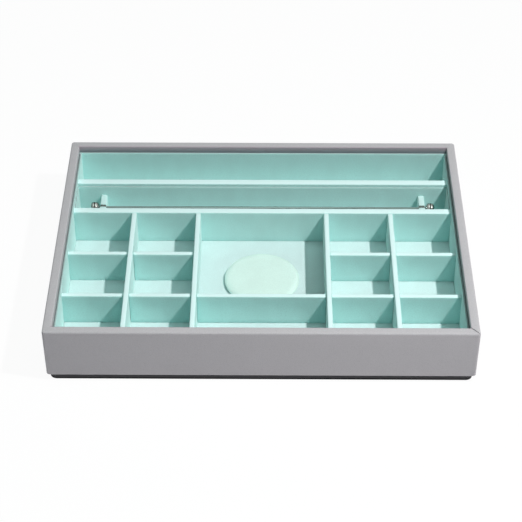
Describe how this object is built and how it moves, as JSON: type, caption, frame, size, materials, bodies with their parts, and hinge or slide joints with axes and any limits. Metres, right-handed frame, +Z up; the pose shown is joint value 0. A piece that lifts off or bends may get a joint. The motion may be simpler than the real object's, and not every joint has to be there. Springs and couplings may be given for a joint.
{
  "type": "jewelry tray",
  "caption": "Shallow stacking jewelry tray: wrapped walls on a dark foot, velvet-lined compartments, a round pad and a lift-out bar whose end knob unscrews.",
  "frame": {"origin": "on the ground under the middle of the tray", "axes": "+X to the right along the long side, +Y to the back wall beside the bar bay, +Z up"},
  "size_m": [0.25, 0.18, 0.0385],
  "materials": {
    "leatherette": "grained grey leatherette, satin",
    "mint_velvet": "mint green short-pile velvet over card",
    "pad_velvet": "pale mint short-pile velvet over wadding",
    "dark_felt": "charcoal felt",
    "dark_board": "fibre board with charcoal paper",
    "fibre_board": "bare fibre board",
    "card": "grey card",
    "polished_metal": "polished plated steel"
  },
  "bodies": {
    "tray": {"back_wall_board": "fibre_board", "back_wall_liner": "mint_velvet", "bar_bay_back_card": "mint_velvet", "bar_bay_left_card": "mint_velvet", "bar_bay_right_card": "mint_velvet", "floor_board": "fibre_board", "floor_lining": "mint_velvet", "foot_board": "dark_board", "foot_felt": "dark_felt", "front_long_divider": "mint_velvet", "front_wall_board": "fibre_board", "front_wall_liner": "mint_velvet", "inner_left_column_divider": "mint_velvet", "inner_left_front_cross_divider": "mint_velvet", "inner_left_rear_cross_divider": "mint_velvet", "inner_right_column_divider": "mint_velvet", "inner_right_front_cross_divider": "mint_velvet", "inner_right_rear_cross_divider": "mint_velvet", "leatherette_wrap": "leatherette", "left_bar_support": "mint_velvet", "left_wall_board": "fibre_board", "left_wall_liner": "mint_velvet", "middle_front_cross_divider": "mint_velvet", "outer_left_column_divider": "mint_velvet", "outer_left_front_cross_divider": "mint_velvet", "outer_left_rear_cross_divider": "mint_velvet", "outer_right_column_divider": "mint_velvet", "outer_right_front_cross_divider": "mint_velvet", "outer_right_rear_cross_divider": "mint_velvet", "pad_card": "card", "pad_cushion": "pad_velvet", "rear_long_divider": "mint_velvet", "right_bar_support": "mint_velvet", "right_wall_board": "fibre_board", "right_wall_liner": "mint_velvet"},
    "bar": {"bar_rod": "polished_metal", "fixed_end_collar": "polished_metal", "fixed_end_knob": "polished_metal"},
    "screw_collar": {"screw_end_collar": "polished_metal"},
    "screw_knob": {"screw_end_knob": "polished_metal"}
  },
  "joints": [
    {"name": "bar_lift", "type": "slide", "parent": "tray", "child": "bar", "axis": [0, 0, 1], "range_m": [0, 0.03]},
    {"name": "knob_travel", "type": "slide", "parent": "bar", "child": "screw_collar", "axis": [1, 0, 0], "range_m": [0, 0.0024]},
    {"name": "knob_turn", "type": "hinge", "parent": "screw_collar", "child": "screw_knob", "pos_m": [0.1047, 0.0436, 0.02085], "axis": [1, 0, 0], "range_deg": [0, 2880]}
  ],
  "couplings": [
    {"joint": "knob_turn", "follows": "knob_travel", "rad_per_m": 20944}
  ]
}
